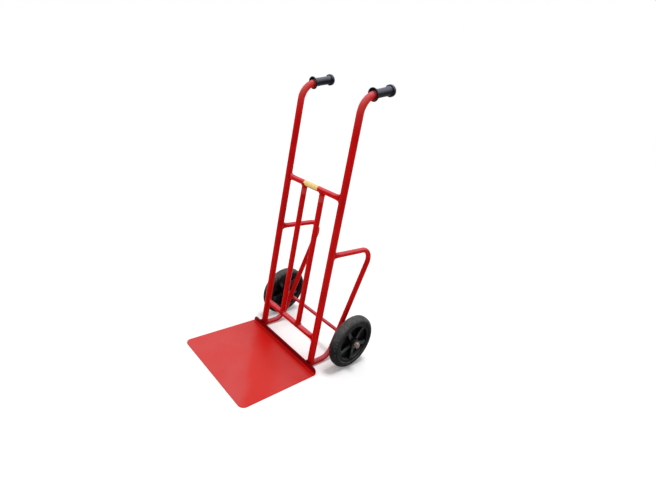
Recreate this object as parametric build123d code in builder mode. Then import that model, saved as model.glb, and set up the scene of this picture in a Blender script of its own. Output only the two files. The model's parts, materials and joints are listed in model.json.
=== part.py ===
from build123d import *

import os
from math import asin, atan2, cos, degrees, hypot, radians, sin, tan

# A two-wheeled hand cart: a welded tube frame on a toe plate, with two free wheels.
# Millimetres, +Z up. X runs across the cart, and -Y is the side that carries the load.
# Left and right are those of the person who pushes it, so left is +X.
# The origin is on the floor at mid-width, on the plate's flat underside just before its fold.

# Toe plate
plate_width = 398
plate_depth = 312
plate_thickness = 3
plate_corner_radius = 22
plate_edge_radius = 0.6
lip_height = 23
lip_corner_radius = 15
fold_inner_radius = 2
flat_behind_origin = 1

# Side rails and their handles
rail_spacing = 300
rail_diameter = 25.4
rail_wall = 2
rail_floor_gap = 1
handle_corner_height = 1000
handle_bend_radius = 72
handle_rise_angle = 15.5
handle_length = 128

# Cross bars and the upright bars between them
cross_bar_diameter = 21
cross_bar_wall = 1.5
cross_bar_end_height = 28
cross_bar_end_thickness = 11
cross_bar_end_run = 30
upper_bar_height = 657
lower_bar_height = 116
inner_bar_diameter = 21
inner_bar_wall = 1.5
inner_bar_spacing = 97.4

# Side loops
loop_diameter = 20
loop_wall = 1.5
loop_top_height = 448.5
loop_reach = 224
loop_top_bend_radius = 45
loop_foot_bend_radius = 50
loop_floor_gap = 1
loop_end_height = 27
loop_end_thickness = 12
loop_end_run = 30

# Wheels and axle
wheel_diameter = 207
wheel_outside_rail = 62.5
axle_behind_origin = 152
axle_diameter = 14
axle_notch_depth = 3.7
axle_thread_diameter = 12
axle_end_beyond_nut = 3.5
axle_end_chamfer = 1
tyre_width = 40
tyre_section_height = 28
tyre_shoulder_radius = 16
tyre_side_rise = 4
rim_width = 34
rim_band_thickness = 6.5
rim_band_edge_radius = 2.5
rim_flange_height = 3
rim_flange_width = 2.5
hub_length = 46
hub_diameter = 40
hub_edge_radius = 1.5
spoke_count = 5
spoke_start_angle = 56
spoke_width_at_hub = 13
spoke_width_at_band = 14
spoke_depth = 31
web_thickness = 4
web_step = 1.2
spoke_root_radius = 3
bush_wall = 5
bush_length = 20
bush_flange_diameter = 33
bush_flange_thickness = 1.5
washer_diameter = 24
washer_thickness = 2
collar_diameter = 24
collar_length = 10
nut_across_flats = 19
nut_height = 10.5
nut_corner_drop = 1.5

# Grips
grip_start = 44
grip_length = 97
grip_body_diameter = 31
grip_waist_diameter = 30.4
grip_front_diameter = 47
grip_front_rim_width = 3.5
grip_front_edge_radius = 1.5
grip_mouth_diameter = 41
grip_mouth_depth = 11
grip_back_diameter = 42
grip_back_rim_width = 6
grip_dome_length = 9
grip_flare_length = 13

# Bare label on the upper bar
label_length = 76
label_start = -48
label_thickness = 0.4
label_wrap_angle = 200
label_middle_angle = 155

# Weld beads
weld_size = 3.2
foot_weld_half_width = 9.5
foot_weld_depth = 5.5

# Gaps between pieces, and the overrun of cuts
weld_gap = 0.2
running_clearance = 0.08
seat_clearance = 0.15
side_play = 0.3
thread_clearance = 0.1
overrun = 5

# How far a flattened tube end has eased from round to flat, at these shares of its run
ease_shares = ((0, 0), (0.25, 0.12), (0.5, 0.5), (0.75, 0.88), (1, 1))

# Places worked out from the sizes above
rail_x = rail_spacing / 2
rail_radius = rail_diameter / 2
cross_bar_radius = cross_bar_diameter / 2
inner_bar_radius = inner_bar_diameter / 2
loop_radius = loop_diameter / 2
axle_radius = axle_diameter / 2
wheel_radius = wheel_diameter / 2
lip_back_y = flat_behind_origin + fold_inner_radius + plate_thickness
plate_front_y = lip_back_y - plate_depth
rail_y = lip_back_y + weld_gap + rail_radius
axle_y = axle_behind_origin
axle_z = wheel_radius
axle_middle = Axis((0, axle_y, axle_z), (1, 0, 0))
loop_corner_y = rail_y + loop_reach
loop_foot_z = loop_floor_gap + loop_radius
loop_end_y = rail_y + rail_radius + loop_end_run

# The loop's strut passes in front of the axle, which lies in a shallow notch across it
strut_to_axle = loop_radius + axle_radius - axle_notch_depth
corner_behind_axle = loop_corner_y - axle_y
corner_above_axle = loop_top_height - axle_z
strut_angle = atan2(corner_behind_axle, corner_above_axle) + asin(
    strut_to_axle / hypot(corner_behind_axle, corner_above_axle)
)
loop_knee_y = loop_corner_y - (loop_top_height - loop_foot_z) * tan(strut_angle)

# Stations along the axle, from mid-width outwards
wheel_x = rail_x + wheel_outside_rail
hub_half = hub_length / 2 + bush_flange_thickness
inner_washer_x = wheel_x - hub_half - side_play - washer_thickness
collar_x = inner_washer_x - collar_length
outer_washer_x = wheel_x + hub_half + side_play
nut_x = outer_washer_x + washer_thickness
axle_end_x = nut_x + nut_height + axle_end_beyond_nut

# Radii round the axle
bush_bore_radius = axle_radius + running_clearance
bush_radius = bush_bore_radius + bush_wall
hub_bore_radius = bush_radius + seat_clearance / 2
hub_radius = hub_diameter / 2
rim_radius = wheel_radius - tyre_section_height
rim_inner_radius = rim_radius - rim_band_thickness
thread_radius = axle_thread_diameter / 2
nut_bore_radius = thread_radius + thread_clearance

sides = {1: "left", -1: "right"}


def save(part, name):
    part.label = name
    export_step(part, f"parts/{name}.step")
    print(name, "solids", len(part.solids()), "volume", round(part.volume))


def handle_point(distance):
    """The point on a handle's middle line this far from the handle's corner, in the side view."""
    rise = radians(handle_rise_angle)
    return rail_y + distance * cos(rise), handle_corner_height + distance * sin(rise)


def across_plane(x, y, z):
    """A section across whatever runs along X."""
    return Plane(origin=(x, y, z), x_dir=(0, 1, 0), z_dir=(1, 0, 0))


def along_plane(x, y, z):
    """A section across whatever runs along Y."""
    return Plane(origin=(x, y, z), x_dir=(1, 0, 0), z_dir=(0, 1, 0))


def wheel_section(side):
    """The half section of a wheel: X from its middle, and up by its radius."""
    return Plane(origin=(side * wheel_x, axle_y, axle_z), x_dir=(1, 0, 0), z_dir=(0, -1, 0))


# Solid forms of the tubes, grown or shrunk by some amount, that fit and cut one another


def flattened_form(sections, radius, flat_height, flat_thickness, growth):
    """A round form that eases into a tall thin oval from the first section to the last."""
    with BuildPart() as form:
        for section, (_, share) in zip(sections, ease_shares):
            with BuildSketch(section):
                Ellipse(
                    radius + share * (flat_thickness / 2 - radius) + growth,
                    radius + share * (flat_height / 2 - radius) + growth,
                )
        loft()
    return form.part


def cross_bar_end(side, height, growth=0):
    start = rail_x - rail_radius - cross_bar_end_run
    sections = [
        across_plane(side * (start + place * (cross_bar_end_run + rail_radius)), rail_y, height)
        for place, _ in ease_shares
    ]
    return flattened_form(
        sections, cross_bar_radius, cross_bar_end_height, cross_bar_end_thickness, growth
    )


def loop_end(side, growth=0):
    sections = [
        along_plane(side * rail_x, loop_end_y - place * (loop_end_run + rail_radius), loop_top_height)
        for place, _ in ease_shares
    ]
    return flattened_form(sections, loop_radius, loop_end_height, loop_end_thickness, growth)


def rail_form(side, growth=0):
    with BuildPart() as form:
        with BuildSketch(Plane.XY.offset(-overrun)):
            with Locations((side * rail_x, rail_y)):
                Circle(rail_radius + growth)
        extrude(amount=handle_corner_height)
    return form.part


def cross_bar_form(height, growth=0):
    with BuildPart() as form:
        with BuildSketch(across_plane(0, rail_y, height)):
            Circle(cross_bar_radius + growth)
        extrude(amount=rail_x, both=True)
    return form.part


def inner_bar_form(side, growth=0):
    with BuildPart() as form:
        with BuildSketch(Plane.XY.offset(lower_bar_height)):
            with Locations((side * inner_bar_spacing / 2, rail_y)):
                Circle(inner_bar_radius + growth)
        extrude(amount=upper_bar_height - lower_bar_height)
    return form.part


def loop_foot_form(side, growth=0):
    with BuildPart() as form:
        with BuildSketch(along_plane(side * rail_x, rail_y, loop_foot_z)):
            Circle(loop_radius + growth)
        extrude(amount=2 * rail_radius)
    return form.part


def strut_form(side, growth=0):
    """The straight of a side loop where it passes the axle."""
    middle = (side * rail_x, axle_y - strut_to_axle * cos(strut_angle), axle_z + strut_to_axle * sin(strut_angle))
    with BuildPart() as form:
        with BuildSketch(Plane(origin=middle, x_dir=(1, 0, 0), z_dir=(0, sin(strut_angle), cos(strut_angle)))):
            Circle(loop_radius + growth)
        extrude(amount=axle_diameter + weld_size, both=True)
    return form.part


def axle_form(side, growth=0):
    with BuildPart() as form:
        with BuildSketch(across_plane(side * rail_x, axle_y, axle_z)):
            Circle(axle_radius + growth)
        extrude(amount=loop_diameter, both=True)
    return form.part


def bead(form, other_form, *place):
    """A weld bead in the corner where two forms meet, clear of both by the weld's gap."""
    first, first_cut = form(*place, growth=weld_size), form(*place, growth=weld_gap)
    second, second_cut = other_form(weld_size), other_form(weld_gap)
    with BuildPart() as ring:
        add(first)
        add(second, mode=Mode.INTERSECT)
        add(first_cut, mode=Mode.SUBTRACT)
        add(second_cut, mode=Mode.SUBTRACT)
    return ring.part


# The frame


def make_toe_plate():
    with BuildPart() as toe_plate:
        with BuildSketch(Plane.YZ) as section:
            with BuildLine():
                Polyline(
                    (plate_front_y, 0),
                    (lip_back_y, 0),
                    (lip_back_y, lip_height),
                    (lip_back_y - plate_thickness, lip_height),
                    (lip_back_y - plate_thickness, plate_thickness),
                    (plate_front_y, plate_thickness),
                    close=True,
                )
            make_face()
            corners = section.vertices()
            outer_fold = corners.sort_by_distance((lip_back_y, 0, 0))[0]
            inner_fold = corners.sort_by_distance((lip_back_y - plate_thickness, plate_thickness, 0))[0]
            fillet(outer_fold, fold_inner_radius + plate_thickness)
            fillet(inner_fold, fold_inner_radius)
        extrude(amount=plate_width / 2, both=True)
        fillet(toe_plate.edges().filter_by(Axis.Z).group_by(Axis.Y)[0], plate_corner_radius)
        fillet(toe_plate.edges().filter_by(Axis.Y).group_by(Axis.Z)[-1], lip_corner_radius)
        flat_top = toe_plate.faces().filter_by(Axis.Z).group_by(SortBy.AREA)[-1].sort_by(Axis.Z)[-1]
        front_edges = flat_top.edges().sort_by(Axis.Y)[:-1]
        fillet(front_edges, plate_edge_radius)
    save(toe_plate.part, "toe_plate")


def make_side_rail(side):
    with BuildPart() as side_rail:
        with BuildLine(Plane.YZ.offset(side * rail_x)):
            FilletPolyline(
                (rail_y, rail_floor_gap),
                (rail_y, handle_corner_height),
                handle_point(handle_length),
                radius=handle_bend_radius,
            )
        with BuildSketch(Plane.XY.offset(rail_floor_gap)):
            with Locations((side * rail_x, rail_y)):
                Circle(rail_radius)
                Circle(rail_radius - rail_wall, mode=Mode.SUBTRACT)
        sweep()
    save(side_rail.part, f"side_rail_{sides[side]}")


def make_cross_bar(height, name):
    """A tube between the rails, flattened and saddle cut at both ends."""
    ends = [cross_bar_end(side, height) for side in sides]
    bores = [cross_bar_end(side, height, -cross_bar_wall) for side in sides]
    rails = [rail_form(side, weld_gap) for side in sides]
    straight = rail_x - rail_radius - cross_bar_end_run
    with BuildPart() as cross_bar:
        with BuildSketch(across_plane(0, rail_y, height)):
            Circle(cross_bar_radius)
        extrude(amount=straight, both=True)
        add(ends)
        with BuildSketch(across_plane(0, rail_y, height)):
            Circle(cross_bar_radius - cross_bar_wall)
        extrude(amount=straight, both=True, mode=Mode.SUBTRACT)
        add(bores, mode=Mode.SUBTRACT)
        add(rails, mode=Mode.SUBTRACT)
    save(cross_bar.part, name)


def make_inner_bar(side):
    """An upright tube whose ends sit on the round of both cross bars."""
    outside = inner_bar_form(side)
    inside = inner_bar_form(side, -inner_bar_wall)
    bars = [cross_bar_form(height, weld_gap) for height in (lower_bar_height, upper_bar_height)]
    with BuildPart() as inner_bar:
        add(outside)
        add(inside, mode=Mode.SUBTRACT)
        add(bars, mode=Mode.SUBTRACT)
    save(inner_bar.part, f"inner_bar_{sides[side]}")


def make_side_loop(side):
    """The tube behind a rail: back, down past the axle that notches it, and forward to the rail's foot."""
    end = loop_end(side)
    bore = loop_end(side, -loop_wall)
    rail = rail_form(side, weld_gap)
    axle = axle_form(side, weld_gap)
    with BuildPart() as side_loop:
        with BuildLine(Plane.YZ.offset(side * rail_x)):
            FilletPolyline(
                (loop_end_y, loop_top_height),
                (loop_corner_y, loop_top_height),
                (loop_knee_y, loop_foot_z),
                (rail_y, loop_foot_z),
                radius=[loop_top_bend_radius, loop_foot_bend_radius],
            )
        with BuildSketch(along_plane(side * rail_x, loop_end_y, loop_top_height)):
            Circle(loop_radius)
            Circle(loop_radius - loop_wall, mode=Mode.SUBTRACT)
        sweep()
        add(end)
        add(bore, mode=Mode.SUBTRACT)
        add(rail, mode=Mode.SUBTRACT)
        add(axle, mode=Mode.SUBTRACT)
    save(side_loop.part, f"side_loop_{sides[side]}")


def make_axle():
    """A rod with both ends turned down and threaded for the nuts."""
    with BuildPart() as axle:
        with BuildSketch(across_plane(0, axle_y, axle_z)):
            Circle(axle_radius)
        extrude(amount=outer_washer_x, both=True)
        with BuildSketch(across_plane(0, axle_y, axle_z)):
            Circle(thread_radius)
        extrude(amount=axle_end_x, both=True)
        ends = axle.faces().filter_by(Axis.X).group_by(Axis.X)
        chamfer(ends[0].edges() + ends[-1].edges(), axle_end_chamfer)
    save(axle.part, "axle")


def make_bare_label():
    """A thin patch bent round the upper bar, with nothing on it, cut out round the inner bar's bead."""
    inner_bars = [inner_bar_form(side, weld_size + weld_gap) for side in sides]
    inner_radius = cross_bar_radius + seat_clearance
    middle = inner_radius + label_thickness / 2
    first = label_middle_angle - label_wrap_angle / 2
    with BuildPart() as bare_label:
        with BuildSketch(across_plane(label_start, rail_y, upper_bar_height)):
            with BuildLine():
                CenterArc((0, 0), middle, first, label_wrap_angle)
            trace(line_width=label_thickness)
        extrude(amount=label_length)
        add(inner_bars, mode=Mode.SUBTRACT)
    save(bare_label.part, "bare_label")


# Weld beads, one group to a node


def make_cross_bar_welds():
    beads = []
    for height in (lower_bar_height, upper_bar_height):
        for side in sides:
            beads.append(bead(cross_bar_end, lambda growth: rail_form(side, growth), side, height))
    with BuildPart() as cross_bar_welds:
        add(beads)
    save(cross_bar_welds.part, "cross_bar_welds")


def make_inner_bar_welds():
    beads = []
    for height in (lower_bar_height, upper_bar_height):
        for side in sides:
            beads.append(bead(inner_bar_form, lambda growth: cross_bar_form(height, growth), side))
    with BuildPart() as inner_bar_welds:
        add(beads)
    save(inner_bar_welds.part, "inner_bar_welds")


def make_loop_welds():
    top_beads = [bead(loop_end, lambda growth: rail_form(side, growth), side) for side in sides]
    foot_beads = [bead(loop_foot_form, lambda growth: rail_form(side, growth), side) for side in sides]
    with BuildPart() as loop_welds:
        add(foot_beads)
        split(bisect_by=Plane.XY.offset(loop_foot_z), keep=Keep.TOP)
        add(top_beads)
    save(loop_welds.part, "loop_welds")


def make_foot_welds():
    """Beads up both sides of each rail behind the lip, and across the front of it on the lip's edge."""
    rails = [rail_form(side, weld_gap) for side in sides]
    with BuildPart() as foot_welds:
        with BuildSketch(Plane.XY.offset(rail_floor_gap)):
            for side in sides:
                with Locations((side * rail_x, lip_back_y + weld_gap)):
                    Rectangle(2 * foot_weld_half_width, foot_weld_depth, align=(Align.CENTER, Align.MIN))
        extrude(amount=lip_height + weld_gap + weld_size - rail_floor_gap)
        with BuildSketch(Plane.XY.offset(lip_height + weld_gap)):
            for side in sides:
                with Locations((side * rail_x, lip_back_y + weld_gap)):
                    Rectangle(2 * foot_weld_half_width, plate_thickness, align=(Align.CENTER, Align.MAX))
        extrude(amount=weld_size)
        add(rails, mode=Mode.SUBTRACT)
    save(foot_welds.part, "foot_welds")


def make_axle_welds():
    beads = [bead(strut_form, lambda growth: axle_form(side, growth), side) for side in sides]
    with BuildPart() as axle_welds:
        add(beads)
    save(axle_welds.part, "axle_welds")


# The wheels and what holds them on the axle


def make_tyre(side):
    """Solid rubber, seated in the rim between its two flanges."""
    seat = rim_radius + seat_clearance
    flange_top = rim_radius + rim_flange_height + seat_clearance
    seat_half = rim_width / 2 - rim_flange_width - seat_clearance
    with BuildPart() as tyre:
        with BuildSketch(wheel_section(side)) as section:
            with BuildLine():
                Polyline(
                    (-seat_half, seat),
                    (-seat_half, flange_top),
                    (-rim_width / 2, flange_top),
                    (-tyre_width / 2, flange_top + tyre_side_rise),
                    (-tyre_width / 2, wheel_radius),
                    (tyre_width / 2, wheel_radius),
                    (tyre_width / 2, flange_top + tyre_side_rise),
                    (rim_width / 2, flange_top),
                    (seat_half, flange_top),
                    (seat_half, seat),
                    close=True,
                )
            make_face()
            fillet(section.vertices().group_by(Axis.Y)[-1], tyre_shoulder_radius)
        revolve(axis=axle_middle)
    save(tyre.part, f"tyre_{sides[side]}")


def make_rim(side):
    """A moulded rim: a flanged band, a hub, and deep spokes on both sides of a closed web."""
    half = rim_width / 2
    groove_half = half - rim_flange_width
    flange_radius = rim_radius + rim_flange_height
    middle = across_plane(side * wheel_x, axle_y, axle_z)
    pocket_start = hub_radius + web_step
    pocket_end = rim_inner_radius - web_step
    with BuildPart() as rim:
        with BuildSketch(wheel_section(side)) as section:
            with BuildLine():
                Polyline(
                    (-half, rim_inner_radius),
                    (-half, flange_radius),
                    (-groove_half, flange_radius),
                    (-groove_half, rim_radius),
                    (groove_half, rim_radius),
                    (groove_half, flange_radius),
                    (half, flange_radius),
                    (half, rim_inner_radius),
                    close=True,
                )
            make_face()
            fillet(section.vertices().group_by(Axis.Y)[0], rim_band_edge_radius)
            Rectangle(spoke_depth, rim_radius, align=(Align.CENTER, Align.MIN))
            Rectangle(hub_length, hub_radius, align=(Align.CENTER, Align.MIN))
            hub_corners = section.vertices().sort_by_distance((hub_length / 2, hub_radius, 0))[:1]
            hub_corners += section.vertices().sort_by_distance((-hub_length / 2, hub_radius, 0))[:1]
            fillet(hub_corners, hub_edge_radius)
        revolve(axis=axle_middle)
        for end in (-1, 1):
            with BuildSketch(across_plane(side * wheel_x + end * half, axle_y, axle_z)) as pockets:
                Circle(pocket_end)
                Circle(pocket_start, mode=Mode.SUBTRACT)
                with PolarLocations(0, spoke_count, start_angle=spoke_start_angle):
                    Polygon(
                        (0, -spoke_width_at_hub / 2),
                        (rim_radius, -spoke_width_at_band / 2),
                        (rim_radius, spoke_width_at_band / 2),
                        (0, spoke_width_at_hub / 2),
                        align=None,
                        mode=Mode.SUBTRACT,
                    )
                fillet(pockets.vertices(), spoke_root_radius)
            extrude(amount=-end * (half - web_thickness / 2), mode=Mode.SUBTRACT)
        with BuildSketch(middle):
            Circle(hub_bore_radius)
        extrude(amount=hub_length, both=True, mode=Mode.SUBTRACT)
    save(rim.part, f"rim_{sides[side]}")


def make_hub_bush(side, end, name):
    """A flanged sleeve in one end of a hub; end is 1 at the outer end and -1 at the inner one."""
    outward = side * end
    face = across_plane(side * wheel_x + outward * hub_length / 2, axle_y, axle_z)
    with BuildPart() as hub_bush:
        with BuildSketch(face):
            Circle(bush_radius)
        extrude(amount=-outward * bush_length)
        with BuildSketch(face):
            Circle(bush_flange_diameter / 2)
        extrude(amount=outward * bush_flange_thickness)
        with BuildSketch(face):
            Circle(bush_bore_radius)
        extrude(amount=bush_length + bush_flange_thickness, both=True, mode=Mode.SUBTRACT)
    save(hub_bush.part, f"{name}_{sides[side]}")


def make_ring(side, start, length, diameter, bore_radius, name):
    """A ring on the axle that runs outwards from its start."""
    with BuildPart() as ring:
        with BuildSketch(across_plane(side * start, axle_y, axle_z)):
            Circle(diameter / 2)
            Circle(bore_radius, mode=Mode.SUBTRACT)
        extrude(amount=side * length)
    save(ring.part, f"{name}_{sides[side]}")


def make_axle_nut(side):
    """A hex nut whose corners are turned down on the outer face."""
    flat_radius = nut_across_flats / 2
    with BuildPart() as axle_nut:
        with BuildSketch(across_plane(side * nut_x, axle_y, axle_z)):
            RegularPolygon(flat_radius, 6, major_radius=False)
        extrude(amount=side * nut_height)
        with BuildSketch(Plane(origin=(side * nut_x, axle_y, axle_z), x_dir=(side, 0, 0), z_dir=(0, -side, 0))):
            with BuildLine():
                Polyline(
                    (0, 0),
                    (0, nut_across_flats),
                    (nut_height - nut_corner_drop, nut_across_flats),
                    (nut_height - nut_corner_drop, flat_radius + 2 * nut_corner_drop),
                    (nut_height, flat_radius - nut_corner_drop / 2),
                    (nut_height, 0),
                    close=True,
                )
            make_face()
        revolve(axis=axle_middle, mode=Mode.INTERSECT)
        with BuildSketch(across_plane(side * nut_x, axle_y, axle_z)):
            Circle(nut_bore_radius)
        extrude(amount=side * nut_height, mode=Mode.SUBTRACT)
    save(axle_nut.part, f"axle_nut_{sides[side]}")


# The grips


def make_grip(side):
    """A rubber grip with a bell mouth in front and a closed, domed end behind."""
    rise = radians(handle_rise_angle)
    mouth = (side * rail_x, *handle_point(grip_start))
    section_plane = Plane(origin=mouth, x_dir=(0, cos(rise), sin(rise)), z_dir=(1, 0, 0))
    handle_line = Axis(mouth, (0, cos(rise), sin(rise)))
    front_radius = grip_front_diameter / 2
    body_radius = grip_body_diameter / 2
    waist_radius = grip_waist_diameter / 2
    back_radius = grip_back_diameter / 2
    bore_radius = rail_radius + seat_clearance
    bore_end = handle_length - grip_start + seat_clearance
    front_flare_end = grip_front_rim_width + grip_flare_length
    dome_start = grip_length - grip_dome_length
    back_rim_start = dome_start - grip_back_rim_width
    back_flare_start = back_rim_start - grip_flare_length
    with BuildPart() as grip:
        with BuildSketch(section_plane) as outline:
            with BuildLine():
                Polyline((0, 0), (0, front_radius), (grip_front_rim_width, front_radius))
                Spline(
                    (grip_front_rim_width, front_radius),
                    (front_flare_end, body_radius),
                    tangents=((0, -1), (1, 0)),
                )
                Spline(
                    (front_flare_end, body_radius),
                    ((front_flare_end + back_flare_start) / 2, waist_radius),
                    (back_flare_start, body_radius),
                    tangents=((1, 0), (1, 0)),
                )
                Spline(
                    (back_flare_start, body_radius),
                    (back_rim_start, back_radius),
                    tangents=((1, 0), (0, 1)),
                )
                Line((back_rim_start, back_radius), (dome_start, back_radius))
                Spline((dome_start, back_radius), (grip_length, 0), tangents=((1, 0), (0, -1)))
                Line((grip_length, 0), (0, 0))
            make_face()
            fillet(outline.vertices().group_by(Axis.Y)[-1], grip_front_edge_radius)
        revolve(axis=handle_line)
        with BuildSketch(section_plane):
            with BuildLine():
                Polyline(
                    (0, 0),
                    (0, grip_mouth_diameter / 2),
                    (grip_mouth_depth, bore_radius),
                    (bore_end, bore_radius),
                    (bore_end, 0),
                    close=True,
                )
            make_face()
        revolve(axis=handle_line, mode=Mode.SUBTRACT)
    save(grip.part, f"grip_{sides[side]}")


os.makedirs("parts", exist_ok=True)
make_toe_plate()
make_cross_bar(upper_bar_height, "upper_cross_bar")
make_cross_bar(lower_bar_height, "lower_cross_bar")
make_axle()
make_bare_label()
make_cross_bar_welds()
make_inner_bar_welds()
make_loop_welds()
make_foot_welds()
make_axle_welds()
for side in sides:
    make_side_rail(side)
    make_inner_bar(side)
    make_side_loop(side)
    make_grip(side)
    make_tyre(side)
    make_rim(side)
    make_hub_bush(side, 1, "hub_bush_outer")
    make_hub_bush(side, -1, "hub_bush_inner")
    make_ring(side, collar_x, collar_length, collar_diameter, bush_bore_radius, "axle_collar")
    make_ring(side, inner_washer_x, washer_thickness, washer_diameter, bush_bore_radius, "inner_washer")
    make_ring(side, outer_washer_x, washer_thickness, washer_diameter, nut_bore_radius, "outer_washer")
    make_axle_nut(side)
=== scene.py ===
import json
import math

import bmesh
import bpy
from mathutils import Matrix, Vector


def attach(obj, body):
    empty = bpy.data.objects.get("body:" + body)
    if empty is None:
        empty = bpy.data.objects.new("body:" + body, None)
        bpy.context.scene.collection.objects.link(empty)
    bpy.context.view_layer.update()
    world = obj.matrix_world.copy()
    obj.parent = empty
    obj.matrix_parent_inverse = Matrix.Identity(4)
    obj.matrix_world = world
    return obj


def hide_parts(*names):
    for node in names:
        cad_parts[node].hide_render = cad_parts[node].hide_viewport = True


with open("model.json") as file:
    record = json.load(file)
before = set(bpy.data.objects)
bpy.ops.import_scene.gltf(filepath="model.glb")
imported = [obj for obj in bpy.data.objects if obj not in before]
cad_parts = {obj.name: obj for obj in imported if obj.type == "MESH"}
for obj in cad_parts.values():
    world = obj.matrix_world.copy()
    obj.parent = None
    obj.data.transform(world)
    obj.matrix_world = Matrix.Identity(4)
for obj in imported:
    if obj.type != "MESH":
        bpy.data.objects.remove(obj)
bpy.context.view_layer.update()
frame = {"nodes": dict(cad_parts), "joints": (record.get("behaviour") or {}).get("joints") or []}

nodes = frame["nodes"]
bpy.ops.object.select_all(action="DESELECT")
print("stage: packed frame loaded,", len(nodes), "nodes")

# the camera, as fitted to the photograph: angles in radians, its place in metres, the rest in pixels
view = {
    "azimuth": 0.7594983327,
    "elevation": 0.2487327541,
    "roll": 0.1921451297,
    "place": (1.058364, -0.985371, 1.014765),
    "focalPixels": 416.952,
    "middle": (334, 194),
    "picture": (656, 487),
    "sensorWidth": 36,  # millimetres
    "farthest": 60,  # metres
}


def placeCamera():
    az, el, roll = view["azimuth"], view["elevation"], view["roll"]
    back = Vector((math.sin(az) * math.cos(el), -math.cos(az) * math.cos(el), math.sin(el)))
    right = Vector((math.cos(az), math.sin(az), 0))
    up = back.cross(right)
    rolledRight = math.cos(roll) * right + math.sin(roll) * up
    rolledUp = -math.sin(roll) * right + math.cos(roll) * up
    data = bpy.data.cameras.new("cartCamera")
    camera = bpy.data.objects.new("cartCamera", data)
    bpy.context.scene.collection.objects.link(camera)
    turn = Matrix((rolledRight, rolledUp, back)).transposed().to_4x4()
    camera.matrix_world = Matrix.Translation(view["place"]) @ turn
    width, height = view["picture"]
    data.sensor_width = view["sensorWidth"]
    data.lens = view["sensorWidth"] * view["focalPixels"] / width
    data.shift_x = (width / 2 - view["middle"][0]) / width
    data.shift_y = (view["middle"][1] - height / 2) / width
    data.clip_end = view["farthest"]
    bpy.context.scene.camera = camera


# shader nodes stand in rows, in the order in which they are made
nodeLayout = {"left": -1700, "across": 240, "down": 300, "columns": 6}


def addNode(tree, kind, **settings):
    row, column = divmod(len(tree.nodes), nodeLayout["columns"])
    node = tree.nodes.new(kind)
    node.location = (nodeLayout["left"] + nodeLayout["across"] * column, -nodeLayout["down"] * row)
    for key, value in settings.items():
        setattr(node, key, value)
    return node


def feed(tree, socket, value):
    # another node's output is linked, a plain value is set
    if isinstance(value, bpy.types.NodeSocket):
        tree.links.new(value, socket)
    else:
        socket.default_value = value


def fill(tree, node, **values):
    # an input's name is written with _ for each space
    for name, value in values.items():
        feed(tree, node.inputs[name.replace("_", " ")], value)
    return node


def useMath(tree, operation, *values):
    node = addNode(tree, "ShaderNodeMath", operation=operation)
    for socket, value in zip(node.inputs, values):
        feed(tree, socket, value)
    return node.outputs[0]


def useNoise(tree, where, **values):
    return fill(tree, addNode(tree, "ShaderNodeTexNoise"), Vector=where, **values).outputs["Fac"]


def spanValue(tree, value, low, high, toLow, toHigh, smooth=True):
    node = addNode(tree, "ShaderNodeMapRange", interpolation_type="SMOOTHSTEP" if smooth else "LINEAR")
    fill(tree, node, Value=value, From_Min=low, From_Max=high, To_Min=toLow, To_Max=toHigh)
    return node.outputs["Result"]


def splitUp(tree, vector):
    return fill(tree, addNode(tree, "ShaderNodeSeparateXYZ"), Vector=vector).outputs


def mixColour(tree, mask, first, second):
    # sockets by number, because those for numbers, vectors and colours share their names
    mix = addNode(tree, "ShaderNodeMix", data_type="RGBA")
    for number, value in ((0, mask), (6, first), (7, second)):
        feed(tree, mix.inputs[number], (*value, 1) if isinstance(value, tuple) else value)
    return mix.outputs[2]


studio = {
    "worldLight": 0.3,  # what the surroundings give to the object
    "floorColour": (0.94, 0.94, 0.94, 1),
    "floorSize": 40,
    "floorDrop": 0.0006,  # keeps the floor clear of the plate's underside
    "floorGlow": 0.16,  # lifts the floor to white in the picture alone
    # where each lamp shines from, its spread in degrees and its strength
    "lamps": {
        "overheadLamp": ((0.02, 0.08, 1.0), 18, 1.85),
        "sideLamp": ((-1.0, -0.6, 0.5), 140, 0.9),
    },
}


def makeWorld():
    # white to the camera and in reflections, dimmer as light on the object
    world = bpy.data.worlds.new("studio")
    bpy.context.scene.world = world
    world.use_nodes = True
    tree = world.node_tree
    tree.nodes.clear()
    ray = addNode(tree, "ShaderNodeLightPath").outputs
    seen = useMath(tree, "MAXIMUM", ray["Is Camera Ray"], ray["Is Glossy Ray"])
    seen = useMath(tree, "MAXIMUM", seen, ray["Is Transmission Ray"])
    level = spanValue(tree, seen, 0, 1, studio["worldLight"], 1, smooth=False)
    glow = fill(tree, addNode(tree, "ShaderNodeBackground"), Color=(1, 1, 1, 1), Strength=level)
    fill(tree, addNode(tree, "ShaderNodeOutputWorld"), Surface=glow.outputs[0])


def makeFloor():
    bpy.ops.mesh.primitive_plane_add(size=studio["floorSize"], location=(0, 0, -studio["floorDrop"]))
    floor = bpy.context.object
    floor.name = "studioFloor"
    material = bpy.data.materials.new("paleFloor")
    material.use_nodes = True
    tree = material.node_tree
    tree.nodes.clear()
    seen = addNode(tree, "ShaderNodeLightPath").outputs["Is Camera Ray"]
    strength = useMath(tree, "MULTIPLY", seen, studio["floorGlow"])
    glow = fill(tree, addNode(tree, "ShaderNodeEmission"), Strength=strength)
    chalk = fill(tree, addNode(tree, "ShaderNodeBsdfDiffuse"), Color=studio["floorColour"])
    both = addNode(tree, "ShaderNodeAddShader")
    for socket, shader in zip(both.inputs, (glow, chalk)):
        feed(tree, socket, shader.outputs[0])
    fill(tree, addNode(tree, "ShaderNodeOutputMaterial"), Surface=both.outputs[0])
    floor.data.materials.append(material)


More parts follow.
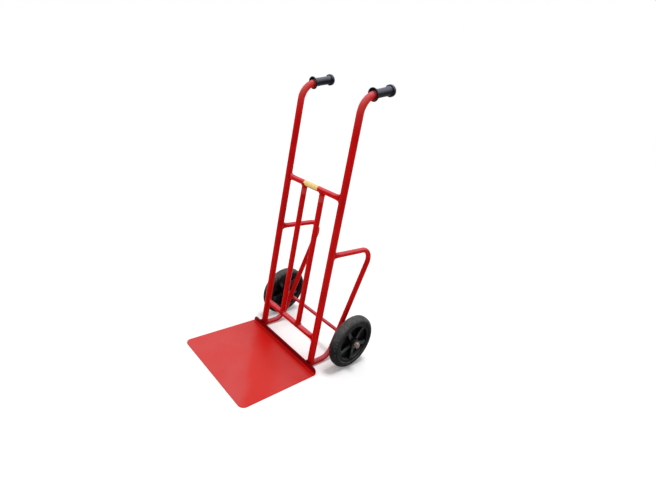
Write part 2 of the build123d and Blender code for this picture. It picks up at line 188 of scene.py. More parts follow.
def hangLamps():
    for name, (comesFrom, spread, power) in studio["lamps"].items():
        lampData = bpy.data.lights.new(name, "SUN")
        lampData.angle = math.radians(spread)
        lampData.energy = power
        lamp = bpy.data.objects.new(name, lampData)
        bpy.context.scene.collection.objects.link(lamp)
        lamp.matrix_world = Vector(comesFrom).to_track_quat("Z", "Y").to_matrix().to_4x4()


placeCamera()
makeWorld()
makeFloor()
hangLamps()
bpy.context.scene.view_settings.view_transform = "Standard"
print("stage: camera and studio")


def newGroup(name, inputs, output):
    # every group reads a place on the piece and a few numbers, and gives one number
    group = bpy.data.node_groups.new(name, "ShaderNodeTree")
    group.interface.new_socket(name="Vector", in_out="INPUT", socket_type="NodeSocketVector")
    for label, value in inputs.items():
        socket = group.interface.new_socket(name=label, in_out="INPUT", socket_type="NodeSocketFloat")
        socket.default_value = value
    group.interface.new_socket(name=output, in_out="OUTPUT", socket_type="NodeSocketFloat")
    given = addNode(group, "NodeGroupInput").outputs
    result = addNode(group, "NodeGroupOutput").inputs[output]
    return group, given, result


def makeOrangePeel():
    # sprayed paint: a fine pebbled skin on slow waves
    group, given, height = newGroup("orangePeel", {"Pebbles": 420, "Waves": 14, "Wave Share": 0.5}, "Height")
    pebbles = useNoise(group, given["Vector"], Scale=given["Pebbles"], Detail=2, Roughness=0.45)
    waves = useNoise(group, given["Vector"], Scale=given["Waves"], Detail=1, Roughness=0.4)
    mix = fill(group, addNode(group, "ShaderNodeMix"), Factor=given["Wave Share"], A=pebbles, B=waves)
    feed(group, height, mix.outputs["Result"])
    return group


def makeCloudiness():
    # slow changes of tone, from 0 to 1
    group, given, mask = newGroup("cloudiness", {"Scale": 6, "Low": 0.35, "High": 0.65}, "Mask")
    clouds = useNoise(group, given["Vector"], Scale=given["Scale"], Detail=4, Roughness=0.55)
    feed(group, mask, spanValue(group, clouds, given["Low"], given["High"], 0, 1))
    return group


speckShape = {
    "core": 0.4,  # share of a speck's size that is solid
    "patchScale": 24,  # the specks come in patches
}


def makeSpecks():
    # small scattered specks, such as dust, grit or paint nibs
    group, given, mask = newGroup("specks", {"Scale": 300, "Size": 0.18, "Share": 0.5}, "Mask")
    cells = fill(group, addNode(group, "ShaderNodeTexVoronoi"), Vector=given["Vector"], Scale=given["Scale"])
    core = useMath(group, "MULTIPLY", given["Size"], speckShape["core"])
    spot = spanValue(group, cells.outputs["Distance"], core, given["Size"], 1, 0)
    patches = useNoise(group, given["Vector"], Scale=speckShape["patchScale"], Detail=2)
    inPatch = useMath(group, "LESS_THAN", patches, given["Share"])
    feed(group, mask, useMath(group, "MULTIPLY", spot, inPatch))
    return group


grainSpan = (0.3, 0.7)  # the part of the noise that thins the painted highlight on tops


def makeLitTops():
    # painted highlight: lighter where a surface faces up, as if lit from above, in patches
    inputs = {"From": 0.25, "Full": 0.95, "Grain": 60, "Patchy": 0.3}
    group, given, mask = newGroup("litTops", inputs, "Mask")
    normal = addNode(group, "ShaderNodeNewGeometry").outputs["Normal"]
    upward = spanValue(group, splitUp(group, normal)["Z"], given["From"], given["Full"], 0, 1)
    grain = useNoise(group, given["Vector"], Scale=given["Grain"], Detail=5, Roughness=0.65)
    spread = spanValue(group, grain, *grainSpan, 0, 1, smooth=False)
    kept = useMath(group, "SUBTRACT", 1, useMath(group, "MULTIPLY", spread, given["Patchy"]))
    feed(group, mask, useMath(group, "MULTIPLY", upward, kept))
    return group


orangePeel = makeOrangePeel()
cloudiness = makeCloudiness()
specks = makeSpecks()
litTops = makeLitTops()
print("stage: shader groups")


def useGroup(tree, group, where, values):
    node = addNode(tree, "ShaderNodeGroup", node_tree=group)
    feed(tree, node.inputs["Vector"], where)
    for label, value in values.items():
        feed(tree, node.inputs[label], value)
    return node.outputs[0]


def newFinish(name, finish):
    material = bpy.data.materials.new(name)
    material.use_nodes = True
    tree = material.node_tree
    shader = tree.nodes["Principled BSDF"]
    fill(tree, shader, Metallic=finish["metallic"], Specular_IOR_Level=finish["specular"])
    where = addNode(tree, "ShaderNodeTexCoord").outputs["Object"]
    return material, tree, shader, where


def addSpecks(tree, where, colour, finish):
    mask = useGroup(tree, specks, where, finish["specks"])
    share = useMath(tree, "MULTIPLY", mask, finish["speckShare"])
    return mixColour(tree, share, colour, finish["speckColour"])


# mixes in the painted highlight colour where a surface faces up
def addLitTops(tree, where, colour, finish):
    return mixColour(tree, useGroup(tree, litTops, where, finish["litTops"]), colour, finish["litTopColour"])


def addBump(tree, shader, height, distance, strength=1):
    bump = fill(tree, addNode(tree, "ShaderNodeBump"), Strength=strength, Distance=distance, Height=height)
    fill(tree, shader, Normal=bump.outputs[0])


def addPeel(tree, shader, where, finish):
    addBump(tree, shader, useGroup(tree, orangePeel, where, finish["peel"]), finish["peelHeight"])


# In each finish, colours are as the shader takes them and lengths are in metres. Between a pair of heights,
# distances or shares an effect comes in or goes out. A pair of roughnesses is the least and the most.
redTube = {
    "colour": (0.66, 0.003, 0.003),
    "deepColour": (0.53, 0.002, 0.0022),
    "tone": {"Scale": 9, "Low": 0.4, "High": 0.7},
    # painted highlight: pinkish on what faces up
    "litTops": {"From": 0.24, "Full": 0.74, "Grain": 45, "Patchy": 0.3},
    "litTopColour": (0.80, 0.13, 0.15),
    "lowLitTopColour": (0.57, 0.125, 0.155),  # the painted highlight is dimmer on what faces up near the floor
    "lowBelow": (0.112, 0.122),
    "handleGlintAbove": (0.87, 0.985),  # here the bends get a painted pinkish highlight where they face up
    "handleGlint": {"From": -0.3, "Full": 0.35, "Grain": 60, "Patchy": 0.35},
    "glintColour": (0.66, 0.075, 0.07),
    "specks": {"Scale": 210, "Size": 0.14, "Share": 0.45},
    "speckShare": 0.3,
    "speckColour": (0.2, 0.002, 0.002),
    "roughness": (0.31, 0.44),
    "specular": 0.04,
    "metallic": 0,
    "peel": {"Pebbles": 520, "Waves": 22, "Wave Share": 0.6},
    "peelHeight": 0.00012,
}

# the inner bars get a band of painted highlight under the upper cross bar
innerBarGlint = {"bottom": (0.612, 0.620), "top": (0.635, 0.641), "share": 0.6}


def startRedPaint(name, patch=None):
    # all of the tubes' paint but its base colour and its bump
    material, tree, shader, where = newFinish(name, redTube)
    height = splitUp(tree, where)["Z"]
    tone = useGroup(tree, cloudiness, where, redTube["tone"])
    colour = mixColour(tree, tone, redTube["colour"], redTube["deepColour"])
    # painted highlight on the handle bends, high up
    highUp = spanValue(tree, height, *redTube["handleGlintAbove"], 0, 1)
    handleGlint = useMath(tree, "MULTIPLY", highUp, useGroup(tree, litTops, where, redTube["handleGlint"]))
    colour = mixColour(tree, handleGlint, colour, redTube["glintColour"])
    # the painted highlight on tops, dimmer near the floor
    nearFloor = spanValue(tree, height, *redTube["lowBelow"], 1, 0)
    litTopColour = mixColour(tree, nearFloor, redTube["litTopColour"], redTube["lowLitTopColour"])
    litTop = useGroup(tree, litTops, where, redTube["litTops"])
    colour = mixColour(tree, litTop, colour, litTopColour)
    # a band of painted highlight between the patch's heights
    if patch:
        bottom = spanValue(tree, height, *patch["bottom"], 0, patch["share"])
        top = spanValue(tree, height, *patch["top"], 1, 0)
        colour = mixColour(tree, useMath(tree, "MULTIPLY", bottom, top), colour, redTube["glintColour"])
    colour = addSpecks(tree, where, colour, redTube)
    fill(tree, shader, Roughness=spanValue(tree, tone, 0, 1, *redTube["roughness"]))
    return material, tree, shader, where, colour


def makeRedPaint(name, patch=None):
    material, tree, shader, where, colour = startRedPaint(name, patch)
    fill(tree, shader, Base_Color=colour)
    addPeel(tree, shader, where, redTube)
    return material


axleRod = {
    "bareFrom": 0.19,  # distance from the cart's middle
    "threadColour": (0.30, 0.22, 0.19),
    "threadPitch": 0.00175,
    "threadDepth": 0.0007,
    "threadStrength": 0.8,
}


def makeAxlePaint():
    # red between the wheels, bare plated thread at both ends
    material, tree, shader, where, painted = startRedPaint("axlePaint")
    along = splitUp(tree, where)["X"]
    bare = useMath(tree, "GREATER_THAN", useMath(tree, "ABSOLUTE", along), axleRod["bareFrom"])
    fill(tree, shader, Base_Color=mixColour(tree, bare, painted, axleRod["threadColour"]))
    halfPitch = axleRod["threadPitch"] / 2
    turns = useMath(tree, "PINGPONG", along, halfPitch)
    ridge = useMath(tree, "MULTIPLY", turns, axleRod["threadDepth"] / halfPitch)
    # the ridge is already in metres, so the bump takes it one to one
    addBump(tree, shader, useMath(tree, "MULTIPLY", ridge, bare), 1, axleRod["threadStrength"])
    return material


redPlate = {
    "colour": (0.66, 0.035, 0.028),
    "cleanColour": (0.66, 0.012, 0.008),  # beside the lip
    "cleanFrom": (-0.13, -0.02),
    "reflectionColour": (0.635, 0.075, 0.073),  # painted reflection, pinkish, on the plate
    # the plate's two sides of a diagonal wedge of paint without painted reflection, as shares of the plate
    "frontReflection": (0.0, 0.14),
    "sideReflection": (0.30, 0.62),
    "sideShare": 0.62,
    "sideEnds": (-0.034, -0.006),
    "drift": {"Scale": 7, "Low": 0.25, "High": 0.75},  # bends the wedge's edges
    "driftShare": 0.10,
    "mottle": {"Scale": 9, "Low": 0.25, "High": 0.75},
    "mottleLeast": 0.55,
    "width": 0.398,
    "depth": 0.307,
    # painted shade: a dark line in the crease before the lip
    "creaseShadeColour": (0.30, 0.006, 0.008),
    "creaseAt": -0.0055,
    "creaseWidth": (0.0008, 0.0028),
    "creaseShare": 0.75,
    "lipShadeColour": (0.25, 0.001, 0.006),  # painted shade on the upturned lip's front
    "lipShadeAbove": (0.0065, 0.0095),
    "specks": {"Scale": 230, "Size": 0.16, "Share": 0.46},
    "speckShare": 0.3,
    "speckColour": (0.7, 0.25, 0.24),
    "roughness": (0.34, 0.48),
    "specular": 0.12,
    "metallic": 0,
    "peel": {"Pebbles": 430, "Waves": 9, "Wave Share": 0.93},
    "peelHeight": 0.0016,
}


def makeReflectionMask(tree, where, place):
    # a share across the plate less a share towards its front: the painted reflection meets unreflected paint
    # on the diagonal
    across = useMath(tree, "MULTIPLY_ADD", place["X"], 1 / redPlate["width"], 0.5)
    slope = useMath(tree, "MULTIPLY_ADD", place["Y"], 1 / redPlate["depth"], across)
    drift = useGroup(tree, cloudiness, where, redPlate["drift"])
    wave = useMath(tree, "ADD", slope, useMath(tree, "MULTIPLY", drift, redPlate["driftShare"]))
    front = spanValue(tree, wave, *redPlate["frontReflection"], 1, 0)
    side = spanValue(tree, wave, *redPlate["sideReflection"], 0, redPlate["sideShare"])
    side = useMath(tree, "MULTIPLY", side, spanValue(tree, place["Y"], *redPlate["sideEnds"], 1, 0))
    cloud = useGroup(tree, cloudiness, where, redPlate["mottle"])
    mottle = spanValue(tree, cloud, 0, 1, redPlate["mottleLeast"], 1)
    return useMath(tree, "MULTIPLY", useMath(tree, "ADD", front, side), mottle)


def makePlatePaint():
    material, tree, shader, where = newFinish("platePaint", redPlate)
    place = splitUp(tree, where)
    reflection = makeReflectionMask(tree, where, place)
    clean = spanValue(tree, place["Y"], *redPlate["cleanFrom"], 0, 1)
    colour = mixColour(tree, clean, redPlate["colour"], redPlate["cleanColour"])
    # painted reflection on both sides of the diagonal wedge
    colour = mixColour(tree, reflection, colour, redPlate["reflectionColour"])
    # painted shade along the crease
    fromCrease = useMath(tree, "ABSOLUTE", useMath(tree, "SUBTRACT", place["Y"], redPlate["creaseAt"]))
    creaseShade = spanValue(tree, fromCrease, *redPlate["creaseWidth"], redPlate["creaseShare"], 0)
    colour = mixColour(tree, creaseShade, colour, redPlate["creaseShadeColour"])
    # painted shade on the lip, above its bend
    lipShade = spanValue(tree, place["Z"], *redPlate["lipShadeAbove"], 0, 1)
    colour = mixColour(tree, lipShade, colour, redPlate["lipShadeColour"])
    colour = addSpecks(tree, where, colour, redPlate)
    rough = spanValue(tree, reflection, 0, 1, *redPlate["roughness"])
    fill(tree, shader, Base_Color=colour, Roughness=rough)
    addPeel(tree, shader, where, redPlate)
    return material


weldBead = {
    "colour": (0.44, 0.003, 0.003),
    "burntColour": (0.035, 0.0015, 0.0015),
    "litTops": {"From": 0.4, "Full": 1.0, "Grain": 160, "Patchy": 0.6},
    # where each kind is burnt, and how much painted highlight its top gets
    "kinds": {
        "weldPaint": ({"Scale": 85, "Low": 0.58, "High": 0.69}, 0.545),
        "burntWeld": ({"Scale": 85, "Low": 0.22, "High": 0.42}, 0.05),
    },
    "roughness": 0.42,
    "specular": 0.04,
    "metallic": 0,
    "rippleScale": 480,
    "rippleHeight": 0.0007,
    "rippleStrength": 0.9,
}


def makeWeldPaint(name):
    material, tree, shader, where = newFinish(name, weldBead)
    burnt, litTopShare = weldBead["kinds"][name]
    burn = useGroup(tree, cloudiness, where, burnt)
    colour = mixColour(tree, burn, weldBead["colour"], weldBead["burntColour"])
    # painted highlight on the bead's top
    litTop = useMath(tree, "MULTIPLY", useGroup(tree, litTops, where, weldBead["litTops"]), litTopShare)
    colour = mixColour(tree, litTop, colour, redTube["litTopColour"])
    fill(tree, shader, Base_Color=colour, Roughness=weldBead["roughness"])
    ripples = addNode(tree, "ShaderNodeTexVoronoi")
    fill(tree, ripples, Vector=where, Scale=weldBead["rippleScale"])
    addBump(tree, shader, ripples.outputs["Distance"], weldBead["rippleHeight"], weldBead["rippleStrength"])
    return material


zincRing = {
    "colour": (0.20, 0.19, 0.19),
    "dullColour": (0.09, 0.085, 0.08),
    "tone": {"Scale": 160, "Low": 0.3, "High": 0.7},
    "roughness": (0.26, 0.5),
    "specular": 0.5,
    "metallic": 1,
    "peel": {"Pebbles": 1500, "Waves": 200, "Wave Share": 0.3},
    "peelHeight": 0.00006,
}


def makeZinc():
    material, tree, shader, where = newFinish("zincPlate", zincRing)
    tone = useGroup(tree, cloudiness, where, zincRing["tone"])
    colour = mixColour(tree, tone, zincRing["colour"], zincRing["dullColour"])
    fill(tree, shader, Base_Color=colour, Roughness=spanValue(tree, tone, 0, 1, *zincRing["roughness"]))
    addPeel(tree, shader, where, zincRing)
    return material


copperNut = {
    "colour": (0.50, 0.32, 0.22),
    "dullColour": (0.16, 0.08, 0.03),
    "tone": {"Scale": 140, "Low": 0.38, "High": 0.66},
    # painted highlight: whitish pink on what faces up
    "litTopColour": (0.86, 0.70, 0.72),
    "litTops": {"From": 0.0, "Full": 0.8, "Grain": 300, "Patchy": 0.4},
    "roughness": (0.24, 0.55),
    "specular": 0.5,
    "metallic": 0.8,
    "peel": {"Pebbles": 1300, "Waves": 180, "Wave Share": 0.3},
    "peelHeight": 0.00008,
}


def makeCopper():
    material, tree, shader, where = newFinish("copperPlate", copperNut)
    tone = useGroup(tree, cloudiness, where, copperNut["tone"])
    colour = mixColour(tree, tone, copperNut["colour"], copperNut["dullColour"])
    # painted highlight on the nut's tops
    colour = addLitTops(tree, where, colour, copperNut)
    fill(tree, shader, Base_Color=colour, Roughness=spanValue(tree, tone, 0, 1, *copperNut["roughness"]))
    addPeel(tree, shader, where, copperNut)
    return material


yellowFilm = {
    "colour": (0.94, 0.60, 0.13),
    "fadedAndLitColour": (0.98, 0.82, 0.44),
    "tone": {"Scale": 110, "Low": 0.4, "High": 0.8},
    # painted highlight: the top made paler, as if lit from above
    "litTops": {"From": 0.1, "Full": 0.8, "Grain": 60, "Patchy": 0.5},
    "litTopShare": 0.7,
    "shadeFacing": (-0.75, -0.15),  # painted shade, dark olive, on what faces down
    "shadeShare": 0.9,
    "specks": {"Scale": 260, "Size": 0.3, "Share": 0.48},
    "speckShare": 0.35,
    "speckColour": (0.13, 0.10, 0.02),
    "roughness": 0.38,
    "specular": 0.2,
    "metallic": 0,
    "peel": {"Pebbles": 500, "Waves": 90, "Wave Share": 0.8},
    "peelHeight": 0.0004,
}


def makeLabelFilm():
    material, tree, shader, where = newFinish("labelFilm", yellowFilm)
    tone = useGroup(tree, cloudiness, where, yellowFilm["tone"])
    colour = mixColour(tree, tone, yellowFilm["colour"], yellowFilm["fadedAndLitColour"])
    # painted highlight on what faces up
    top = useGroup(tree, litTops, where, yellowFilm["litTops"])
    topHighlight = useMath(tree, "MULTIPLY", top, yellowFilm["litTopShare"])
    colour = mixColour(tree, topHighlight, colour, yellowFilm["fadedAndLitColour"])
    # painted shade on what faces down, in the specks' colour
    facing = splitUp(tree, addNode(tree, "ShaderNodeNewGeometry").outputs["Normal"])["Z"]
    under = spanValue(tree, facing, *yellowFilm["shadeFacing"], yellowFilm["shadeShare"], 0)
    colour = mixColour(tree, under, colour, yellowFilm["speckColour"])
    colour = addSpecks(tree, where, colour, yellowFilm)
    fill(tree, shader, Base_Color=colour, Roughness=yellowFilm["roughness"])
    addPeel(tree, shader, where, yellowFilm)
    return material


gripSkin = {
    "colour": (0.004, 0.004, 0.006),
    "wornColour": (0.01, 0.0105, 0.014),
    "tone": {"Scale": 38, "Low": 0.35, "High": 0.7},
    # painted sheen: bluish grey on what faces up
    "litTopColour": (0.19, 0.195, 0.25),
    "litTops": {"From": 0.0, "Full": 0.75, "Grain": 120, "Patchy": 0.35},
    "specks": {"Scale": 600, "Size": 0.15, "Share": 0.44},
    "speckShare": 0.14,
    "speckColour": (0.3, 0.3, 0.3),
    "roughness": (0.34, 0.54),
    "specular": 0.08,
    "metallic": 0,
    "peel": {"Pebbles": 1600, "Waves": 300, "Wave Share": 0.35},
    "peelHeight": 0.00016,
}


def makeGripRubber():
    material, tree, shader, where = newFinish("gripRubber", gripSkin)
    tone = useGroup(tree, cloudiness, where, gripSkin["tone"])
    colour = mixColour(tree, tone, gripSkin["colour"], gripSkin["wornColour"])
    # painted sheen on the grip's top
    colour = addLitTops(tree, where, colour, gripSkin)
    colour = addSpecks(tree, where, colour, gripSkin)
    fill(tree, shader, Base_Color=colour, Roughness=spanValue(tree, tone, 0, 1, *gripSkin["roughness"]))
    addPeel(tree, shader, where, gripSkin)
    return material


def axleDistance(tree, place):
    # both wheels turn on one line, so one distance serves both
    axle = frame["joints"][0]["pos_m"]
    flat = fill(tree, addNode(tree, "ShaderNodeCombineXYZ"), Y=place["Y"], Z=place["Z"])
    distance = addNode(tree, "ShaderNodeVectorMath", operation="DISTANCE")
    for socket, value in zip(distance.inputs, (flat.outputs[0], (0, axle[1], axle[2]))):
        feed(tree, socket, value)
    return distance.outputs["Value"]


tyreSkin = {
    "sidewallColour": (0.0045, 0.0045, 0.005),
    "treadColour": (0.015, 0.0145, 0.0145),
    "treadFrom": (0.0905, 0.0985),  # distance from the axle
    # painted light: the tread and shoulders lighter where they face up
    "litTopColour": (0.15, 0.15, 0.146),
    "litTops": {"From": -0.12, "Full": 0.8, "Grain": 110, "Patchy": 0.45},
    "tone": {"Scale": 30, "Low": 0.3, "High": 0.75},
    "toneColour": (0.008, 0.008, 0.0085),
    "toneShare": 0.4,
    "specks": {"Scale": 105, "Size": 0.22, "Share": 0.5},
    "speckShare": 0.42,
    "speckColour": (0.36, 0.36, 0.36),
    "roughness": (0.5, 0.72),
    "specular": 0.06,
    "metallic": 0,
    "peel": {"Pebbles": 900, "Waves": 120, "Wave Share": 0.4},
    "peelHeight": 0.0005,
}


def makeTyreRubber():
    material, tree, shader, where = newFinish("tyreRubber", tyreSkin)
    tread = spanValue(tree, axleDistance(tree, splitUp(tree, where)), *tyreSkin["treadFrom"], 0, 1)
    colour = mixColour(tree, tread, tyreSkin["sidewallColour"], tyreSkin["treadColour"])
    # painted light on what faces up
    colour = addLitTops(tree, where, colour, tyreSkin)
    tone = useGroup(tree, cloudiness, where, tyreSkin["tone"])
    shade = useMath(tree, "MULTIPLY", tone, tyreSkin["toneShare"])
    colour = mixColour(tree, shade, colour, tyreSkin["toneColour"])
    colour = addSpecks(tree, where, colour, tyreSkin)
    fill(tree, shader, Base_Color=colour, Roughness=spanValue(tree, tone, 0, 1, *tyreSkin["roughness"]))
    addPeel(tree, shader, where, tyreSkin)
    return material


rimSkin = {
    "colour": (0.0015, 0.0015, 0.0018),
    "toneColour": (0.004, 0.004, 0.0045),
    "tone": {"Scale": 45, "Low": 0.3, "High": 0.7},
    "ribHighlightColour": (0.055, 0.055, 0.06),  # painted highlight on the ribs' outer faces
    "ribHighlightFrom": (0.0128, 0.0146),  # distance from the rim's middle, along the axle
    "ribStart": (0.0205, 0.025),  # distance from the axle
    "ribEnd": (0.064, 0.067),
    "ribHighlightTone": {"Scale": 26, "Low": 0.36, "High": 0.58},
    # painted highlight: grey on what faces up, strongest on the band
    "bandHighlightColour": (0.13, 0.14, 0.15),
    "bandHighlight": {"From": 0.3, "Full": 0.95, "Grain": 140, "Patchy": 0.5},
    "bandHighlightFrom": (0.060, 0.064),  # distance from the axle
    "bandHighlightLeast": 0.08,
    "roughness": (0.28, 0.48),
    "specular": 0.045,
    "metallic": 0,
    "peel": {"Pebbles": 700, "Waves": 60, "Wave Share": 0.5},
    "peelHeight": 0.0002,
}


def makeRimPlastic():
    material, tree, shader, where = newFinish("rimPlastic", rimSkin)
    tone = useGroup(tree, cloudiness, where, rimSkin["tone"])
    colour = mixColour(tree, tone, rimSkin["colour"], rimSkin["toneColour"])
    place = splitUp(tree, where)
    radius = axleDistance(tree, place)
    rimMiddle = abs(frame["joints"][0]["pos_m"][0])
    fromMiddle = useMath(tree, "SUBTRACT", useMath(tree, "ABSOLUTE", place["X"]), rimMiddle)
    outward = useMath(tree, "ABSOLUTE", fromMiddle)
    # painted highlight, patchy, on the ribs' outer faces
    ribHighlight = useGroup(tree, cloudiness, where, rimSkin["ribHighlightTone"])
    for mask in (
        spanValue(tree, outward, *rimSkin["ribHighlightFrom"], 0, 1),
        spanValue(tree, radius, *rimSkin["ribStart"], 0, 1),
        spanValue(tree, radius, *rimSkin["ribEnd"], 1, 0),
    ):
        ribHighlight = useMath(tree, "MULTIPLY", ribHighlight, mask)
    colour = mixColour(tree, ribHighlight, colour, rimSkin["ribHighlightColour"])
    # painted highlight on upward faces, strongest on the band
    band = spanValue(tree, radius, *rimSkin["bandHighlightFrom"], rimSkin["bandHighlightLeast"], 1)
    bandHighlight = useMath(tree, "MULTIPLY", useGroup(tree, litTops, where, rimSkin["bandHighlight"]), band)
    colour = mixColour(tree, bandHighlight, colour, rimSkin["bandHighlightColour"])
    fill(tree, shader, Base_Color=colour, Roughness=spanValue(tree, tone, 0, 1, *rimSkin["roughness"]))
    addPeel(tree, shader, where, rimSkin)
    return material


nylonBush = {
    "colour": (0.012, 0.012, 0.013),
    "greasyColour": (0.03, 0.026, 0.02),
    "tone": {"Scale": 120, "Low": 0.45, "High": 0.75},
    "roughness": 0.45,
    "specular": 0.25,
    "metallic": 0,
    "peel": {"Pebbles": 1200, "Waves": 150, "Wave Share": 0.4},
    "peelHeight": 0.0001,
}


def makeNylon():
    material, tree, shader, where = newFinish("blackNylon", nylonBush)
    tone = useGroup(tree, cloudiness, where, nylonBush["tone"])
    colour = mixColour(tree, tone, nylonBush["colour"], nylonBush["greasyColour"])
    fill(tree, shader, Base_Color=colour, Roughness=nylonBush["roughness"])
    addPeel(tree, shader, where, nylonBush)
    return material


redPaint = makeRedPaint("redPaint")
weldPaint = makeWeldPaint("weldPaint")
zincPlate = makeZinc()
tyreRubber = makeTyreRubber()
rimPlastic = makeRimPlastic()

# by the start of a node's name; the longest start that fits counts
finishOf = {
    "toe_plate": makePlatePaint(),
    "side_rail": redPaint,
    "upper_cross_bar": redPaint,
    "lower_cross_bar": redPaint,
    "inner_bar": makeRedPaint("innerBarPaint", innerBarGlint),
    "side_loop": redPaint,
    "axle": makeAxlePaint(),
    "cross_bar_welds": weldPaint,
    "inner_bar_welds": weldPaint,
    "loop_welds": weldPaint,
    "foot_welds": makeWeldPaint("burntWeld"),
    "axle_welds": weldPaint,
    "bare_label": makeLabelFilm(),
    "grip": makeGripRubber(),
    "tyre": tyreRubber,
    "rim": rimPlastic,
    "hub_bush": makeNylon(),
    "axle_collar": zincPlate,
    "inner_washer": zincPlate,
    "outer_washer": zincPlate,
    "axle_nut": makeCopper(),
}

for nodeName, node in nodes.items():
    best = max((start for start in finishOf if nodeName.startswith(start)), key=len)
    node.data.materials.clear()
    node.data.materials.append(finishOf[best])
print("stage: finishes on the frame")

perMetre = 1000  # the shapes below are written in millimetres
seedCube = 0.01  # metres across, merged to a profile's first point
merging = 0.00002  # points closer than this, in metres, become one
looksAlong = 0.9  # a face looks along an axis where its normal does by more than this share


def smoothOver(angle):
    bpy.ops.object.shade_smooth_by_angle(angle=math.radians(angle))


def startEdit(name, **cube):
    bpy.ops.object.select_all(action="DESELECT")
    bpy.ops.mesh.primitive_cube_add(**cube)
    piece = bpy.context.object
    piece.name = name
    piece.data.name = name
    bpy.ops.object.transform_apply(location=True, rotation=True, scale=True)
    bpy.ops.object.mode_set(mode="EDIT")
    bpy.ops.mesh.select_mode(type="VERT")
    bpy.ops.mesh.select_all(action="SELECT")
    return piece


def endEdit(piece, angle):
    bpy.ops.mesh.select_all(action="SELECT")
    bpy.ops.mesh.normals_make_consistent(inside=False)
    bpy.ops.object.mode_set(mode="OBJECT")
    bpy.ops.object.select_all(action="DESELECT")
    piece.select_set(True)
    bpy.context.view_layer.objects.active = piece
    smoothOver(angle)


def selectFaces(piece, isWanted):
    mesh = bmesh.from_edit_mesh(piece.data)
    mesh.normal_update()
    for face in mesh.faces:
        face.select = isWanted(face)
    for part in (*mesh.edges, *mesh.verts):
        part.select = any(face.select for face in part.link_faces)
    bmesh.update_edit_mesh(piece.data)


def spinProfile(name, shape, middle):
    # half a profile is mirrored about the wheel's middle, closed, and turned round the axle
    half = [(along / perMetre, radius / perMetre) for along, radius in shape["halfProfile"]]
    points = half + [(-along, radius) for along, radius in reversed(half)]
    x, y, z = middle
    piece = startEdit(name, size=seedCube, location=(x + points[0][0], y, z + points[0][1]))
    bpy.ops.mesh.merge(type="CENTER")
    for last, point in zip(points, points[1:]):
        step = (point[0] - last[0], 0, point[1] - last[1])
        bpy.ops.mesh.extrude_region_move(TRANSFORM_OT_translate={"value": step})
    # only the two ends are selected, so that an edge joins them and no face fills the profile
    bpy.ops.mesh.select_all(action="DESELECT")
    mesh = bmesh.from_edit_mesh(piece.data)
    for vertex in mesh.verts:
        vertex.select = len(vertex.link_edges) == 1
    bmesh.update_edit_mesh(piece.data)
    bpy.ops.mesh.edge_face_add()
    bpy.ops.mesh.select_all(action="SELECT")
    bpy.ops.mesh.spin(steps=shape["steps"], angle=2 * math.pi, center=middle, axis=(1, 0, 0))
    bpy.ops.mesh.select_all(action="SELECT")
    bpy.ops.mesh.remove_doubles(threshold=merging)
    return piece


tyreShape = {
    "steps": 120,
    # from the bead at the rim to the middle of the tread, (along the axle, from the axle)
    "halfProfile": [
        (14.2, 75.75), (14.2, 78.75), (16.9, 78.9), (18.1, 79.5), (18.9, 80.6), (19.35, 82.2), (19.6, 83.8),
        (19.55, 84.9), (19.75, 86.2), (19.95, 87.6), (20.0, 89.0), (19.75, 90.6), (19.3, 92.2), (18.3, 94.6),
        (17.0, 96.8), (15.2, 98.9), (13.0, 100.7), (10.8, 102.0), (8.3, 102.9), (6.2, 103.3), (0.55, 103.42),
        (0.3, 103.5),
    ],
    "sharpFrom": 28,  # degrees
}


def makeTyre(side, joint):
    tyre = spinProfile(f"solidTyre_{side}", tyreShape, tuple(joint["pos_m"]))
    endEdit(tyre, tyreShape["sharpFrom"])
    tyre.data.materials.append(tyreRubber)
    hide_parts(f"tyre_{side}")
    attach(tyre, joint["child"])


rimShape = {
    "steps": 96,
    # from the hub's bore to the middle of the band, (along the axle, from the axle)
    "halfProfile": [
        (23.0, 12.2), (23.0, 17.6), (22.2, 18.9), (20.6, 19.5), (14.0, 20.1), (6.0, 20.6), (3.4, 21.4),
        (2.3, 23.2), (2.0, 26.0), (2.0, 62.5), (2.4, 65.6), (4.0, 67.8), (7.0, 68.7), (15.0, 69.1),
        (16.3, 69.8), (17.0, 71.2), (17.0, 77.6), (16.4, 78.4), (15.2, 78.4), (14.5, 77.7), (14.5, 75.5),
    ],
    "sharpFrom": 35,  # degrees
    "wholeSharpFrom": 40,
}

ribShape = {
    "count": 5,
    "firstAngle": 56,
    # (distance from the axle, width, depth) of a rib's section
    "sections": [
        (18.2, 17, 33), (22, 14, 31.4), (27, 13, 31), (60, 13.6, 31), (65, 15.4, 31.4), (69.6, 20, 32.5),
    ],
    "slab": 1,  # the first section's height, before the others are drawn out of it
    "pocketSections": (2, 3),  # both faces are sunk between these
    "pocketBorder": 2.4,
    "pocketDepth": 0.9,
    "pocketTaper": (1, 0.8, 0.97),
    "edge": 1.0,
    "edgeSegments": 2,
    "edgeFrom": 35,  # degrees
    "sharpFrom": 30,
}


def drawOutSections(piece, middle):
    x, y, z = middle
    sections = ribShape["sections"]
    distance, width, depth = sections[0]
    slab = ribShape["slab"] / perMetre
    bpy.ops.transform.resize(value=(depth / perMetre, width / perMetre, slab), center_override=middle)
    bpy.ops.transform.translate(value=(0, 0, distance / perMetre))
    selectFaces(piece, lambda face: face.normal.z > looksAlong)
    top = z + distance / perMetre + slab / 2
    for last, section in zip(sections, sections[1:]):
        rise = (section[0] - last[0]) / perMetre
        bpy.ops.mesh.extrude_region_move(TRANSFORM_OT_translate={"value": (0, 0, rise)})
        top += rise
        spread = (section[2] / last[2], section[1] / last[1], 1)
        bpy.ops.transform.resize(value=spread, center_override=(x, y, top))


def isPocketFace(face, end, middle):
    first, last = (ribShape["sections"][number][0] / perMetre for number in ribShape["pocketSections"])
    height = face.calc_center_median().z - middle[2]
    return face.normal.x * end > looksAlong and first < height < last


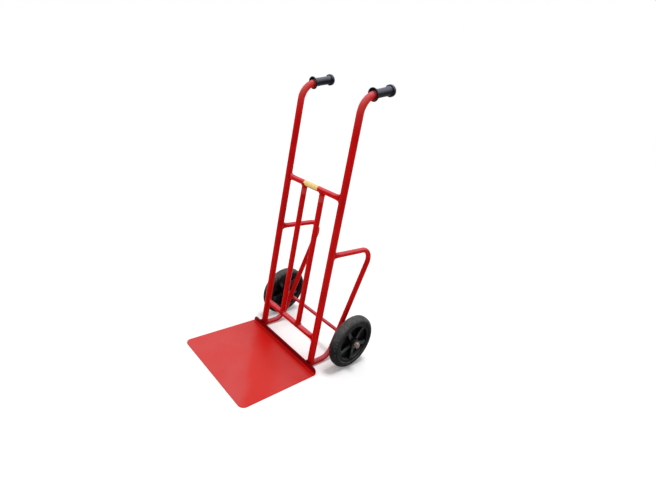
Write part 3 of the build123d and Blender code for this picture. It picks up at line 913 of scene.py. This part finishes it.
def sinkPockets(piece, middle):
    # one in each of the two faces that look along the axle
    for end in (1, -1):
        selectFaces(piece, lambda face: isPocketFace(face, end, middle))
        bpy.ops.mesh.select_mode(type="FACE")
        bpy.ops.mesh.inset(thickness=ribShape["pocketBorder"] / perMetre, use_even_offset=True)
        sink = (-end * ribShape["pocketDepth"] / perMetre, 0, 0)
        bpy.ops.mesh.extrude_region_move(TRANSFORM_OT_translate={"value": sink})
        bpy.ops.transform.resize(value=ribShape["pocketTaper"])
        bpy.ops.mesh.select_mode(type="VERT")


def makeRib(middle):
    rib = startEdit("rib", size=1, location=middle)
    drawOutSections(rib, middle)
    sinkPockets(rib, middle)
    endEdit(rib, ribShape["sharpFrom"])
    bevel = rib.modifiers.new("softEdges", "BEVEL")
    bevel.width = ribShape["edge"] / perMetre
    bevel.segments = ribShape["edgeSegments"]
    bevel.limit_method = "ANGLE"
    bevel.angle_limit = math.radians(ribShape["edgeFrom"])
    bpy.ops.object.modifier_apply(modifier=bevel.name)
    return rib


def copyRound(piece, count, firstAngle, middle):
    # angles run from +Y towards +Z, and the piece is made pointing up
    there = Matrix.Translation(middle)
    copies = []
    for number in range(count):
        copy = piece.copy()
        copy.data = piece.data.copy()
        bpy.context.scene.collection.objects.link(copy)
        turn = math.radians(firstAngle + number * 360 / count - 90)
        copy.data.transform(there @ Matrix.Rotation(turn, 4, "X") @ there.inverted())
        copies.append(copy)
    bpy.data.objects.remove(piece)
    return copies


def makeRim(side, joint):
    middle = tuple(joint["pos_m"])
    rim = spinProfile(f"fiveSpokeRim_{side}", rimShape, middle)
    endEdit(rim, rimShape["sharpFrom"])
    ribs = copyRound(makeRib(middle), ribShape["count"], ribShape["firstAngle"], middle)
    bpy.ops.object.select_all(action="DESELECT")
    for part in (rim, *ribs):
        part.select_set(True)
    bpy.context.view_layer.objects.active = rim
    bpy.ops.object.join()
    smoothOver(rimShape["wholeSharpFrom"])
    rim.data.materials.append(rimPlastic)
    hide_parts(f"rim_{side}")
    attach(rim, joint["child"])


for joint in frame["joints"]:
    side = joint["child"].split("_")[1]
    makeTyre(side, joint)
    makeRim(side, joint)
print("stage: tyres and rims")

print("stage: done")
